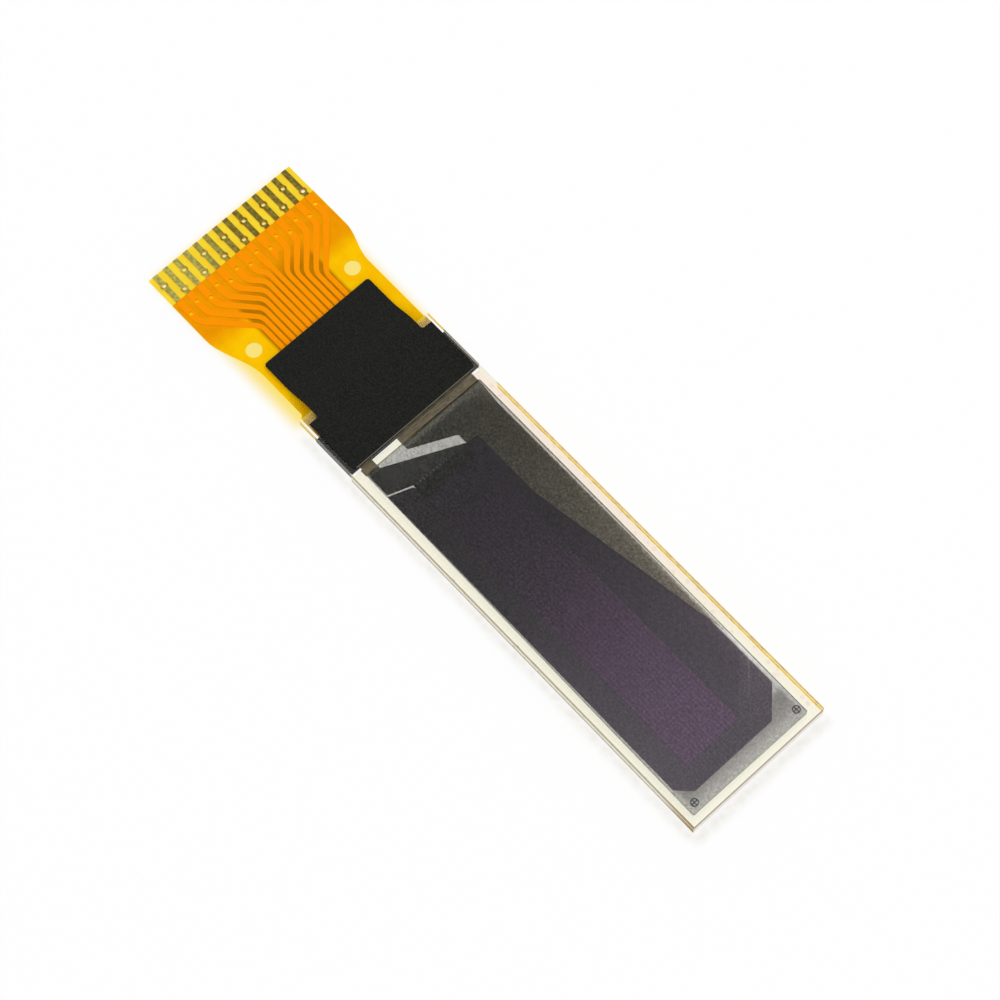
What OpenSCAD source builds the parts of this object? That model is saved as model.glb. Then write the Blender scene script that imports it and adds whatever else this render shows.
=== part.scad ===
// Small graphic OLED display module: two bonded glasses with the light-emitting
// films between them, a driver chip on the bare ledge, and a flexible tail that
// ends in solder pads. Millimetres. The module lies on its cap glass, display up:
// +X runs along the glass away from the tail, +Z out of the display.

/* [Front glass] */
// Length of the front glass
glass_l = 26.3; // [26:0.1:28]
// Width of both glasses
glass_w = 8.0; // [7.8:0.1:9]
// Thickness of the front glass
front_glass_t = 0.5; // [0.3:0.05:0.7]

/* [Cap glass and seal] */
// Thickness of the cap glass
cap_glass_t = 0.5; // [0.45:0.05:0.7]
// Length of the ledge that the cap glass leaves bare
ledge_l = 3.55; // [3.1:0.05:3.9]
// Depth of the pocket etched into the cap glass
pocket_depth = 0.25; // [0.15:0.01:0.3]
// Width of the rim left round the pocket
pocket_rim = 0.9; // [0.7:0.05:1.1]
// Width of the edge seal
seal_w = 0.38; // [0.3:0.01:0.45]
// Setback of the seal from the edge of the cap glass
seal_setback = 0.12; // [0.05:0.01:0.2]
// Room between the cathode film and the cap glass
cell_clearance = 0.016; // [0.01:0.002:0.05]
// Gap drawn between a clear layer and what it lies on, so that no faces coincide
layer_gap = 0.002; // [0.001:0.001:0.004]
// Thickness of the drying sheet in the pocket
drying_sheet_t = 0.12; // [0.08:0.01:0.14]
// Setback of the drying sheet from the pocket's long walls
drying_sheet_side_gap = 0.5; // [0.3:0.05:1]
// Setback of the drying sheet from the pocket's ends
drying_sheet_end_gap = 2.3; // [2.2:0.1:3]

/* [Screen] */
// Number of dot columns
column_count = 96; // [88:1:98]
// Pitch of the columns
column_pitch = 0.18; // [0.17:0.001:0.182]
// Number of dot rows
row_count = 16; // [12:1:18]
// Pitch of the rows
row_pitch = 0.2; // [0.16:0.01:0.22]
// Gap between neighbouring electrode lines
line_gap = 0.02; // [0.01:0.005:0.04]
// Distance from the free end of the glass to the screen
screen_end_gap = 2.32; // [2.1:0.02:2.6]
// Shift of the screen off the module's middle line, away from its wiring
screen_shift = 0.62; // [0.4:0.02:0.7]
// Thickness of the transparent and metal lead films
lead_t = 0.015; // [0.01:0.001:0.02]
// Thickness of the light-emitting film
organic_t = 0.01; // [0.008:0.001:0.02]
// Thickness of the cathode film
cathode_t = 0.015; // [0.01:0.001:0.02]

/* [Cathode field] */
// Reach of the cathode field past the screen, towards the tail
field_start_gap = 0.75; // [0.6:0.01:0.8]
// Distance from the seal to the cathode field at the free end
field_end_gap = 0.71; // [0.5:0.01:0.9]
// Distance from the seal to the cathode field on the wiring side
field_wiring_gap = 0.25; // [0.1:0.01:0.4]
// Distance from the seal to the cathode field on the plain side
field_plain_gap = 0.04; // [0.02:0.01:0.1]
// Chamfer of the field's corner on the wiring side
field_wiring_chamfer = 1.28; // [0.8:0.02:1.6]
// Chamfer of the field's corner on the plain side
field_plain_chamfer = 0.68; // [0.4:0.02:1]

/* [Glass wiring] */
// Distance from the seal to the outermost column lead
wedge_seal_gap = 0.1; // [0.05:0.01:0.2]
// Share of the lead pitch left open between column leads
lead_open_share = 0.15; // [0.1:0.05:0.4]
// Width of the clear window between column leads and row leads
clear_window_w = 1.54; // [1.2:0.02:1.8]
// Width of the band of row leads where it crosses the seal
row_band_w = 0.66; // [0.5:0.02:0.8]
// Distance from the seal to the band of row leads
row_band_gap = 0.08; // [0.05:0.01:0.2]
// Pitch of the output pads under the driver chip
chip_pad_pitch = 0.056; // [0.05:0.001:0.058]
// Distance from the seal to where the column leads start to fan out
column_fan_start = 0.3; // [0.2:0.02:0.4]
// Distance from the cathode field to where their fan ends
column_fan_gap = 0.56; // [0.4:0.02:0.7]
// Distance from the screen to the lowest column lead that stays metal beside the screen
metal_screen_gap = 0.65; // [0.3:0.05:1]
// How far before a column lead's turn its metal ends
metal_turn_gap = 0.8; // [0.2:0.1:1.2]
// Distance from the seal to where the top row lead bends
row_bend_start = 0.12; // [0.05:0.01:0.2]
// Distance from the cathode field to where that bend ends
row_bend_gap = 0.02; // [0.01:0.01:0.1]
// Distance from the cathode field to where the lowest row lead bends
row_low_bend_gap = 0.56; // [0.52:0.01:0.65]
// Run of the lowest row lead's bend
row_low_bend_run = 0.44; // [0.35:0.01:0.5]
// Clear line between the lowest row lead and the cathode field's toe
toe_line_w = 0.06; // [0.04:0.01:0.1]
// Radius of the round alignment marks at the free end
mark_r = 0.2; // [0.12:0.01:0.25]
// Line width of the alignment marks
mark_line_w = 0.05; // [0.03:0.01:0.08]
// Distance from the free end of the glass to the marks
mark_end_gap = 0.85; // [0.8:0.01:0.95]
// Distance between the two marks
mark_spacing = 6.29; // [5.8:0.01:6.4]

/* [Polariser] */
// Thickness of the polariser film with its adhesive
polariser_t = 0.2; // [0.12:0.01:0.3]
// Setback of the polariser from the free end of the glass
polariser_end_gap = 0.35; // [0.2:0.01:0.5]
// Gap between the polariser and the front tape
polariser_tape_gap = 0.58; // [0.4:0.01:0.8]
// Setback of the polariser from each long side of the glass
polariser_side_gap = 0.5; // [0.4:0.01:0.6]
// Sideways shift of the polariser as laid on
polariser_shift = -0.12; // [-0.2:0.01:0.2]
// Turn of the polariser as laid on, in degrees
polariser_turn = -0.35; // [-0.5:0.05:0.5]
// Corner radius of the polariser
polariser_corner_r = 0.1; // [0.05:0.01:0.3]

/* [Driver chip] */
// Length of the driver chip, across the glass
chip_l = 6.76; // [6.6:0.02:7.2]
// Width of the driver chip
chip_w = 0.86; // [0.7:0.02:1]
// Thickness of the driver chip
chip_t = 0.3; // [0.2:0.01:0.33]
// Gap between the driver chip and the cap glass
chip_cap_gap = 0.82; // [0.7:0.02:0.95]
// Thickness of the conductive bonding film under chip and tail
bond_t = 0.02; // [0.01:0.001:0.03]
// How far the bonding film stands out round the chip
bond_margin = 0.08; // [0.02:0.01:0.12]
// Thickness of the black sealing resin on the ledge
resin_t = 0.1; // [0.05:0.01:0.15]
// Clearance between the sealing resin and the parts round it
resin_fit = 0.02; // [0.01:0.005:0.05]

/* [Flexible tail] */
// Length of the tail outside the glass
tail_l = 10.4; // [9.6:0.1:12]
// Length of the tail bonded under the ledge
tail_overlap = 1.1; // [0.9:0.05:1.15]
// Thickness of the base film
base_t = 0.05; // [0.025:0.005:0.08]
// Thickness of the copper on each face
copper_t = 0.02; // [0.012:0.001:0.035]
// Thickness of the cover film over the copper
coverlay_t = 0.04; // [0.025:0.005:0.06]
// Gap between the front cover film and the glass edge
coverlay_glass_gap = 0.15; // [0.1:0.01:0.3]
// Length of the rear cover film
rear_coverlay_l = 3.05; // [2.6:0.05:3.6]
// Width of film left beside the outermost pads
pad_edge_margin = 0.24; // [0.15:0.01:0.4]
// Setback of the neck from the glass side, on the wiring side
neck_gap_left = 0.1; // [0.05:0.01:0.3]
// Setback of the neck from the glass side, on the plain side
neck_gap_right = 0.4; // [0.3:0.01:0.45]
// Setback of the bonded end from the glass side, on the plain side
bonded_gap_right = 0.2; // [0.1:0.01:0.3]
// Distance from the tail's end to the start of its flare
flare_start = 4.1; // [3.6:0.1:4.4]
// Length of the flare on the wiring side
flare_l_left = 2.2; // [1.8:0.1:3]
// Length of the flare on the plain side
flare_l_right = 3.3; // [2.6:0.1:3.6]
// Radius of the two tooling holes
tooling_r = 0.4; // [0.3:0.01:0.42]
// Distance between the tooling holes
tooling_spacing = 6.18; // [6:0.01:6.24]
// Distance from the glass edge to the tooling holes
tooling_glass_gap = 4.33; // [4.1:0.01:4.6]

/* [Pads and traces] */
// Number of solder pads
pad_count = 14; // [13:1:15]
// Pitch of the solder pads
pad_pitch = 0.62; // [0.58:0.005:0.64]
// Width of a solder pad
pad_w = 0.28; // [0.2:0.01:0.36]
// Length of the bare pads
pad_l = 1.75; // [1.5:0.05:2]
// Thickness of the tin on the pads
plating_t = 0.01; // [0.008:0.001:0.02]
// Position of the pad whose trace ends as a stub, counted from the wiring side
stub_pad = 5; // [4:1:7]
// Width of a trace beside its pad
trace_w = 0.34; // [0.26:0.01:0.4]
// Width of a trace in the bundle
bundle_trace_w = 0.235; // [0.15:0.005:0.25]
// Pitch of the traces in the bundle
bundle_pitch = 0.335; // [0.32:0.005:0.35]
// Distance from the tail's end to the bends of the fan
fan_start = 3.15; // [3.1:0.05:3.4]
// Angle of the fan's slanted traces, in degrees
fan_angle = 42; // [38:1:50]
// Length of trace that each rounded bend takes up
bend_l = 0.28; // [0.1:0.01:0.35]
// Inner radius of the plated vias
via_r = 0.1; // [0.06:0.005:0.11]
// Wall of the plating inside a via
via_wall = 0.02; // [0.01:0.005:0.03]
// Radius of the round land round a pad's via
via_land_r = 0.2; // [0.19:0.005:0.24]
// Distance from the cover film to the nearer row of pad vias
via_near = 0.3; // [0.26:0.01:0.4]
// Distance from the cover film to the farther row of pad vias
via_far = 1.05; // [0.95:0.01:1.15]
// Distance under the cover film of the nearer row of inner vias
inner_via_near = 0.6; // [0.45:0.01:0.65]
// Distance under the cover film of the farther row of inner vias
inner_via_far = 0.9; // [0.8:0.01:0.95]

/* [Black tapes] */
// Thickness of both black tapes
tape_t = 0.08; // [0.05:0.01:0.1]
// Setback of the wide part of the tapes from the glass sides
tape_side_gap = 0.2; // [0.15:0.01:0.4]
// Length of the front tape's wide part
tape_wide_l = 3.1; // [2.9:0.05:3.4]
// Width of the tapes' narrow part
tape_narrow_w = 6.5; // [6:0.1:6.8]
// Reach of the front tape past the glass edge
tape_reach = 3.4; // [3:0.1:3.7]
// Length over which the tapes step down or up
tape_ramp_l = 1.9; // [1.4:0.1:2.4]
// Reach of the rear tape past the glass edge
rear_tape_reach = 2.6; // [2:0.1:3]
// Corner radius at the wide end of the front tape
tape_corner_r = 0.28; // [0.1:0.01:0.35]
// Radius of the front tape's shoulders and far corners
tape_shoulder_r = 0.15; // [0.08:0.01:0.2]
// Setback of the front tape from the edge of the cap glass below it
tape_cap_gap = 0.02; // [0:0.01:0.1]

/* [Hidden] */
$fn = 48;
// Overshoot of a cutting solid past the face that it cuts
cut = 0.01;

// Stations along X
glass_end = glass_l / 2;
glass_start = -glass_end;
cap_start = glass_start + ledge_l;
cap_l = glass_end - cap_start;
tail_end = glass_start - tail_l;
tail_inner = glass_start + tail_overlap;
pad_inner = tail_end + pad_l;
chip_end = cap_start - chip_cap_gap;
chip_start = chip_end - chip_w;
seal_start = cap_start + seal_setback;
seal_inner_start = seal_start + seal_w;
seal_inner_end = glass_end - seal_setback - seal_w;
screen_end = glass_end - screen_end_gap;
screen_l = column_count * column_pitch - line_gap;
screen_start = screen_end - screen_l;

// Stations along Y
glass_side = glass_w / 2;
seal_inner_side = glass_side - seal_setback - seal_w;
screen_w = row_count * row_pitch - line_gap;
screen_top = screen_w / 2 - screen_shift;
screen_bottom = screen_top - screen_w;
neck_left = glass_side - neck_gap_left;
neck_right = -glass_side + neck_gap_right;
bonded_right = -glass_side + bonded_gap_right;
pad_span = (pad_count - 1) * pad_pitch;
tail_end_side = pad_span / 2 + pad_w / 2 + pad_edge_margin;

// Heights, from the table up
cathode_z = cap_glass_t + cell_clearance;
organic_z = cathode_z + cathode_t;
lead_z = organic_z + organic_t + layer_gap;
substrate_z = lead_z + lead_t + layer_gap;
glass_top = substrate_z + front_glass_t;
bond_z = lead_z - bond_t;
base_top = bond_z - copper_t;
base_z = base_top - base_t;
rear_copper_z = base_z - copper_t;
coverlay_top = base_top + copper_t + coverlay_t;
chip_back = bond_z - chip_t;

// Drying sheet: distance from the cap glass's ends, and half width
drying_sheet_end = pocket_rim + drying_sheet_end_gap;
drying_sheet_side = glass_side - pocket_rim - drying_sheet_side_gap;

// Cathode field
field_start = screen_start - field_start_gap;
field_end = seal_inner_end - field_end_gap;
field_top = seal_inner_side - field_wiring_gap;
field_bottom = -seal_inner_side + field_plain_gap;

// Lead bands where they cross the seal, and the wedge above the screen
column_band_top = seal_inner_side;
row_band_bottom = -seal_inner_side + row_band_gap;
row_band_top = row_band_bottom + row_band_w;
column_band_bottom = row_band_top + clear_window_w;
wedge_bottom = screen_top + line_gap;
wedge_pitch = (seal_inner_side - wedge_seal_gap - wedge_bottom) / column_count;
// Where the column leads fan out, and where the low ones hand over to the clear conductor
fan_in_x = seal_inner_start + column_fan_start;
fan_out_x = field_start - column_fan_gap;
metal_end_x = field_start + line_gap;
// Where the lowest row lead bends up
row_low_bend_x = field_start - row_low_bend_gap;
// Bare lanes left between the chip's row outputs and its column outputs
chip_lane_gap = 2;
chip_lanes = row_count + chip_lane_gap + column_count;
// How far the leads run in under the chip and under the tail
lead_landing = 0.15;

// Tapes
tape_side = glass_side - tape_side_gap;
front_tape_end = cap_start + tape_cap_gap;
front_tape_start = glass_start - tape_reach;
rear_tape_start = glass_start - rear_tape_reach;
tape_shoulder_x = front_tape_end - tape_wide_l;

// ---- Helpers ----

function mix(a, b, t) = a + (b - a) * t;

// Smooth step from 0 to 1 that starts and ends level
function ease(t) = (1 - cos(180 * t)) / 2;

// Slab between two corners given as [x0, y0] and [x1, y1]
module slab(from, to, z, t) {
    translate([from[0], from[1], z])
        cube([to[0] - from[0], to[1] - from[1], t]);
}

module rect(from, to) {
    translate(from) square([to[0] - from[0], to[1] - from[1]]);
}

// Rectangle centred on the origin, with true round corners
module round_rect(l, w, r) {
    square([l - 2 * r, w], center = true);
    square([l, w - 2 * r], center = true);
    for (sx = [-1, 1], sy = [-1, 1])
        translate([sx * (l / 2 - r), sy * (w / 2 - r)]) circle(r);
}

// Replaces each inner point of a route by a curve that leaves and joins the
// legs at the distance d from it
function rounded_route(p, d, steps = 5) = [
    p[0],
    for (i = [1 : len(p) - 2])
        let (
            to_back = p[i - 1] - p[i],
            to_next = p[i + 1] - p[i],
            a = p[i] + to_back / norm(to_back) * min(d, norm(to_back) / 2),
            b = p[i] + to_next / norm(to_next) * min(d, norm(to_next) / 2)
        )
        for (k = [0 : steps])
            let (t = k / steps)
            a * (1 - t) * (1 - t) + p[i] * 2 * t * (1 - t) + b * t * t,
    p[len(p) - 1]
];

// Unit vector to the left of a route at its point i
function left_of(p, i) =
    let (
        a = p[max(i - 1, 0)],
        b = p[min(i + 1, len(p) - 1)],
        d = (b - a) / norm(b - a)
    )
    [-d[1], d[0]];

// Flat conductor along a route, its width going from w0 to w1 with X
module ribbon(p, w0, w1, x0, x1) {
    widths = [for (q = p) mix(w0, w1, min(max((q[0] - x0) / (x1 - x0), 0), 1))];
    last = len(p) - 1;
    polygon(concat(
        [for (i = [0 : last]) p[i] - left_of(p, i) * widths[i] / 2],
        [for (i = [last : -1 : 0]) p[i] + left_of(p, i) * widths[i] / 2]
    ));
}

// ---- Glass and seal ----

module substrate_glass() {
    color([0.93, 0.94, 0.88, 0.45])
        slab([glass_start, -glass_side], [glass_end, glass_side], substrate_z, front_glass_t);
}

module cap_glass() {
    color([0.90, 0.92, 0.86, 0.45])
        difference() {
            slab([cap_start, -glass_side], [glass_end, glass_side], 0, cap_glass_t);
            pocket(pocket_rim, cap_glass_t - pocket_depth, pocket_depth + cut);
        }
}

// Box over the pocket's area, set in by the given rim
module pocket(rim, z, t) {
    slab([cap_start + rim, -glass_side + rim], [glass_end - rim, glass_side - rim], z, t);
}

module edge_seal() {
    color([0.95, 0.88, 0.62])
        difference() {
            pocket(seal_setback, cap_glass_t + layer_gap, substrate_z - cap_glass_t - 2 * layer_gap);
            pocket(seal_setback + seal_w, cap_glass_t - cut, substrate_z);
            // the seal's short side sits over the lead films
            translate([0, 0, lead_z - layer_gap]) linear_extrude(lead_t + layer_gap + cut) {
                rect([cap_start, column_band_bottom], [fan_in_x, column_band_top]);
                rect([cap_start, row_band_bottom], [fan_in_x, row_band_top]);
            }
        }
}

module drying_sheet() {
    color([0.86, 0.84, 0.78])
        slab(
            [cap_start + drying_sheet_end, -drying_sheet_side],
            [glass_end - drying_sheet_end, drying_sheet_side],
            cap_glass_t - pocket_depth + layer_gap, drying_sheet_t
        );
}

// ---- Films on the inner face of the front glass ----

// Each lead is a lane between two edges. An edge is the route of a lane
// coordinate: column lane s runs from 0 to column_count, row lane s from 0 at the
// top row to row_count.
function chip_lane_y(lane) = (lane - chip_lanes / 2) * chip_pad_pitch;

// Where a column lane turns off the wedge at 45 degrees, and where its metal ends before that
function wedge_y(s) = wedge_bottom + s * wedge_pitch;
function column_x(s) = screen_start - line_gap / 2 + s * column_pitch;
function wedge_turn(s) = [column_x(s) - (wedge_y(s) - screen_top), wedge_y(s)];
function is_low(s) = wedge_y(floor(s)) < screen_top + metal_screen_gap;
function metal_end(s) = [is_low(s) ? metal_end_x : wedge_turn(s)[0] - metal_turn_gap, wedge_y(s)];

function column_lead_edge(s) =
    let (band_y = mix(column_band_bottom, column_band_top, s / column_count))
    [
        [chip_end - lead_landing, chip_lane_y(row_count + chip_lane_gap + s)],
        [chip_end, chip_lane_y(row_count + chip_lane_gap + s)],
        [cap_start, band_y],
        [fan_in_x, band_y],
        [fan_out_x, wedge_y(s)],
        metal_end(s)
    ];

function anode_edge(s) = [
    metal_end(s),
    wedge_turn(s),
    [column_x(s), screen_top],
    [column_x(s), screen_bottom]
];

function row_lead_edge(s) =
    let (
        share = s / row_count,
        band_y = mix(row_band_top, row_band_bottom, share),
        row_y = screen_top + line_gap / 2 - s * row_pitch
    )
    [
        [chip_end - lead_landing, chip_lane_y(row_count - s)],
        [chip_end, chip_lane_y(row_count - s)],
        [cap_start, band_y],
        [mix(seal_inner_start + row_bend_start, row_low_bend_x, share), band_y],
        [mix(field_start - row_bend_gap, row_low_bend_x + row_low_bend_run, share), row_y],
        [screen_start - line_gap, row_y]
    ];

// Lane s, with the share "open" of its pitch left free
module column_lane(s, open) {
    polygon(concat(
        column_lead_edge(s + open / 2),
        reversed(column_lead_edge(s + 1 - open / 2))
    ));
}

function reversed(p) = [for (i = [len(p) - 1 : -1 : 0]) p[i]];

module column_leads() {
    color([0.42, 0.40, 0.30])
        translate([0, 0, lead_z]) linear_extrude(lead_t)
            for (s = [0 : column_count - 1]) column_lane(s, lead_open_share);
}

module anode_columns() {
    open = line_gap / column_pitch;
    color([0.55, 0.52, 0.60])
        translate([0, 0, lead_z]) linear_extrude(lead_t)
            for (s = [0 : column_count - 1])
                polygon(concat(
                    anode_edge(s + open / 2),
                    reversed(anode_edge(s + 1 - open / 2))
                ));
}

module row_leads() {
    open = line_gap / row_pitch;
    color([0.20, 0.18, 0.18])
        translate([0, 0, lead_z]) linear_extrude(lead_t)
            for (s = [0 : row_count - 1])
                polygon(concat(
                    row_lead_edge(s + open / 2),
                    reversed(row_lead_edge(s + 1 - open / 2))
                ));
}

// Leads on the ledge that take the tail's traces in under the chip
module input_leads() {
    color([0.50, 0.46, 0.30])
        for (j = [0 : pad_count - 2])
            slab(
                [glass_start + lead_landing, bundle_y(j) - bundle_trace_w / 2],
                [chip_start + lead_landing, bundle_y(j) + bundle_trace_w / 2],
                lead_z, lead_t
            );
}

// Gaps between the rows, filled by the separators
module row_gaps() {
    for (s = [0 : row_count])
        rect(
            [field_start, screen_top + line_gap - s * row_pitch - line_gap],
            [field_end, screen_top + line_gap - s * row_pitch]
        );
}

module organic_film() {
    color([0.33, 0.22, 0.42])
        translate([0, 0, organic_z]) linear_extrude(organic_t)
            difference() {
                rect([screen_start, screen_bottom], [screen_end, screen_top]);
                row_gaps();
            }
}

module row_separators() {
    color([0.25, 0.22, 0.24])
        translate([0, 0, cathode_z]) linear_extrude(cathode_t + organic_t)
            intersection() {
                row_gaps();
                cathode_field();
            }
}

// The field, with a toe that runs out along the lowest row lead
module cathode_field() {
    polygon([
        [field_start, screen_bottom - toe_line_w],
        [row_low_bend_x + row_low_bend_run + toe_line_w, screen_bottom - toe_line_w],
        [row_low_bend_x + toe_line_w, field_bottom],
        [field_end - field_plain_chamfer, field_bottom],
        [field_end, field_bottom + field_plain_chamfer],
        [field_end, field_top - field_wiring_chamfer],
        [field_end - field_wiring_chamfer, field_top],
        [field_start, field_top]
    ]);
}

module cathode_film() {
    color([0.16, 0.15, 0.18]) {
        translate([0, 0, cathode_z]) linear_extrude(cathode_t)
            difference() {
                cathode_field();
                row_gaps();
            }
        // each row reaches up to its lead beside the screen
        for (s = [0 : row_count - 1])
            slab(
                [field_start, screen_top - (s + 1) * row_pitch + line_gap],
                [screen_start - line_gap, screen_top - s * row_pitch],
                organic_z, organic_t + layer_gap
            );
    }
}

module alignment_marks() {
    color([0.30, 0.28, 0.26])
        for (side = [-1, 1])
            translate([glass_end - mark_end_gap, side * mark_spacing / 2, lead_z])
                linear_extrude(lead_t) {
                    difference() {
                        circle(mark_r);
                        circle(mark_r - mark_line_w);
                    }
                    square([2 * mark_r - mark_line_w, mark_line_w], center = true);
                    square([mark_line_w, 2 * mark_r - mark_line_w], center = true);
                }
}

module polariser_film() {
    l = cap_l - tape_cap_gap - polariser_tape_gap - polariser_end_gap;
    color([0.25, 0.25, 0.24, 0.6])
        translate([glass_end - polariser_end_gap - l / 2, polariser_shift, glass_top + layer_gap])
            rotate(polariser_turn)
                linear_extrude(polariser_t)
                    round_rect(l, glass_w - 2 * polariser_side_gap, polariser_corner_r);
}

// ---- Driver chip and bonding on the ledge ----

module driver_chip() {
    color([0.35, 0.36, 0.40])
        slab([chip_start, -chip_l / 2], [chip_end, chip_l / 2], chip_back, chip_t);
}

module chip_bond_film() {
    color([0.70, 0.66, 0.50])
        slab(
            [chip_start - bond_margin, -chip_l / 2 - bond_margin],
            [chip_end + bond_margin, chip_l / 2 + bond_margin],
            bond_z, bond_t
        );
}

module tail_bond_film() {
    color([0.72, 0.66, 0.45])
        slab([glass_start, bonded_right], [tail_inner, neck_left], bond_z, bond_t);
}

// Black resin over the leads round the chip, between the tail and the cap glass
module ledge_resin() {
    color([0.10, 0.10, 0.09])
        difference() {
            slab(
                [tail_inner + resin_fit, -glass_side],
                [cap_start - resin_fit, glass_side],
                lead_z - resin_t, resin_t
            );
            slab(
                [chip_start - bond_margin, -chip_l / 2 - bond_margin],
                [chip_end + bond_margin, chip_l / 2 + bond_margin],
                lead_z - resin_t - cut, resin_t + 2 * cut
            );
        }
}

// ---- Flexible tail ----

// One long edge of the tail, from its end to its bonded end: full width at the
// pads, then a smooth flare in to the neck
function flared_side(neck_y, flare_l, steps = 12) = [
    [tail_end, sign(neck_y) * tail_end_side],
    for (i = [0 : steps])
        [
            tail_end + flare_start + flare_l * i / steps,
            mix(sign(neck_y) * tail_end_side, neck_y, ease(i / steps))
        ]
];

module tail_outline() {
    step_x = glass_start - coverlay_glass_gap;
    polygon(concat(
        flared_side(neck_left, flare_l_left),
        [[tail_inner, neck_left], [tail_inner, bonded_right]],
        [[step_x, bonded_right], [step_x + (neck_right - bonded_right) * -1, neck_right]],
        reversed(flared_side(neck_right, flare_l_right))
    ));
}

module tooling_holes() {
    for (side = [-1, 1])
        translate([glass_start - tooling_glass_gap, side * tooling_spacing / 2])
            circle(tooling_r);
}

function pad_y(k) = pad_span / 2 - k * pad_pitch;
function is_odd(k) = k % 2 == 1;

// Places what follows at each via, whose two rows alternate from pad to pad
module at_pad_vias() {
    for (k = [0 : pad_count - 1])
        translate([pad_inner - (is_odd(k) ? via_far : via_near), pad_y(k)]) children();
}

module at_inner_vias() {
    for (k = [0 : pad_count - 1])
        translate([pad_inner + (is_odd(k) ? inner_via_far : inner_via_near), pad_y(k)]) children();
}

module at_all_vias() {
    at_pad_vias() children();
    at_inner_vias() children();
}

// Bare pads with the round lands of their vias
module pad_shapes() {
    for (k = [0 : pad_count - 1])
        rect([tail_end, pad_y(k) - pad_w / 2], [pad_inner, pad_y(k) + pad_w / 2]);
    at_pad_vias() circle(via_land_r);
}

// The bundle has one trace fewer than there are pads
function bundle_y(j) = ((pad_count - 2) / 2 - j) * bundle_pitch;
function bundle_slot(k) = k < stub_pad ? k : k - 1;

// Middle line of the trace of pad k: straight from its pad, slanted through the
// fan, and straight again in the bundle up to the bonded end
function trace_route(k) =
    let (
        from_y = pad_y(k),
        to_y = bundle_y(bundle_slot(k)),
        bend_x = tail_end + fan_start,
        join_x = bend_x + max(abs(from_y - to_y), 0.001) / tan(fan_angle)
    )
    [
        [pad_inner - cut, from_y],
        [bend_x, from_y],
        [join_x, to_y],
        [tail_inner - lead_landing, to_y]
    ];

module trace_shapes() {
    bend_x = tail_end + fan_start;
    for (k = [0 : pad_count - 1])
        if (k == stub_pad)
            polygon([
                [pad_inner - cut, pad_y(k) - trace_w / 2],
                [bend_x + bend_l, pad_y(k) - trace_w / 2],
                [bend_x - bend_l / 2, pad_y(k) + trace_w / 2],
                [pad_inner - cut, pad_y(k) + trace_w / 2]
            ]);
        else
            ribbon(
                rounded_route(trace_route(k), bend_l),
                trace_w, bundle_trace_w,
                bend_x, trace_route(k)[2][0] + bend_l
            );
}

// Short traces on the rear face, from each pad to its inner via
module rear_trace_shapes() {
    for (k = [0 : pad_count - 1])
        rect(
            [pad_inner - cut, pad_y(k) - trace_w / 2],
            [pad_inner + inner_via_far + via_land_r, pad_y(k) + trace_w / 2]
        );
}

module tail_base_film() {
    color([0.98, 0.80, 0.12])
        translate([0, 0, base_z]) linear_extrude(base_t)
            difference() {
                tail_outline();
                tooling_holes();
                at_all_vias() circle(via_r + via_wall);
            }
}

module front_copper() {
    color([0.85, 0.50, 0.20])
        translate([0, 0, base_top]) linear_extrude(copper_t)
            difference() {
                union() {
                    pad_shapes();
                    trace_shapes();
                }
                at_all_vias() circle(via_r);
            }
}

module rear_copper() {
    color([0.80, 0.46, 0.20])
        translate([0, 0, rear_copper_z]) linear_extrude(copper_t)
            difference() {
                union() {
                    pad_shapes();
                    rear_trace_shapes();
                }
                at_all_vias() circle(via_r);
            }
}

module via_barrels() {
    color([0.88, 0.60, 0.30])
        translate([0, 0, base_z]) linear_extrude(base_t)
            at_all_vias()
                difference() {
                    circle(via_r + via_wall);
                    circle(via_r);
                }
}

module pad_tin(z) {
    color([0.50, 0.48, 0.26])
        translate([0, 0, z]) linear_extrude(plating_t)
            difference() {
                pad_shapes();
                at_pad_vias() circle(via_r);
            }
}

module front_pad_tin() {
    pad_tin(base_top + copper_t);
}

module rear_pad_tin() {
    pad_tin(rear_copper_z - plating_t);
}

// The cover film's glue flows between the traces, so its lower face takes
// their shape
module front_coverlay() {
    color([1.0, 0.62, 0.05, 0.85])
        difference() {
            translate([0, 0, base_top + layer_gap])
                linear_extrude(copper_t + coverlay_t - layer_gap)
                difference() {
                    intersection() {
                        tail_outline();
                        rect(
                            [pad_inner, -tail_end_side - glass_side],
                            [glass_start - coverlay_glass_gap, tail_end_side + glass_side]
                        );
                    }
                    tooling_holes();
                }
            translate([0, 0, base_top]) linear_extrude(copper_t + layer_gap)
                trace_shapes();
        }
}

module rear_coverlay() {
    color([0.95, 0.55, 0.05, 0.85])
        difference() {
            translate([0, 0, rear_copper_z - coverlay_t])
                linear_extrude(copper_t + coverlay_t - layer_gap)
                intersection() {
                    tail_outline();
                    rect(
                        [pad_inner, -tail_end_side - cut],
                        [pad_inner + rear_coverlay_l, tail_end_side + cut]
                    );
                }
            translate([0, 0, rear_copper_z - layer_gap]) linear_extrude(copper_t + layer_gap)
                rear_trace_shapes();
        }
}

// ---- Black tapes ----

// Side view of a tape that follows the given underside, extruded across the module
module tape_strip(underside, half_w) {
    rotate([90, 0, 0]) translate([0, 0, -half_w])
        linear_extrude(2 * half_w)
            polygon(concat(
                underside,
                reversed([for (p = underside) [p[0], p[1] + tape_t]])
            ));
}

// Points of a smooth step between two levels
function stepped(x0, z0, x1, z1, steps = 12) = [
    for (i = [0 : steps]) [mix(x0, x1, i / steps), mix(z0, z1, ease(i / steps))]
];

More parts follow.
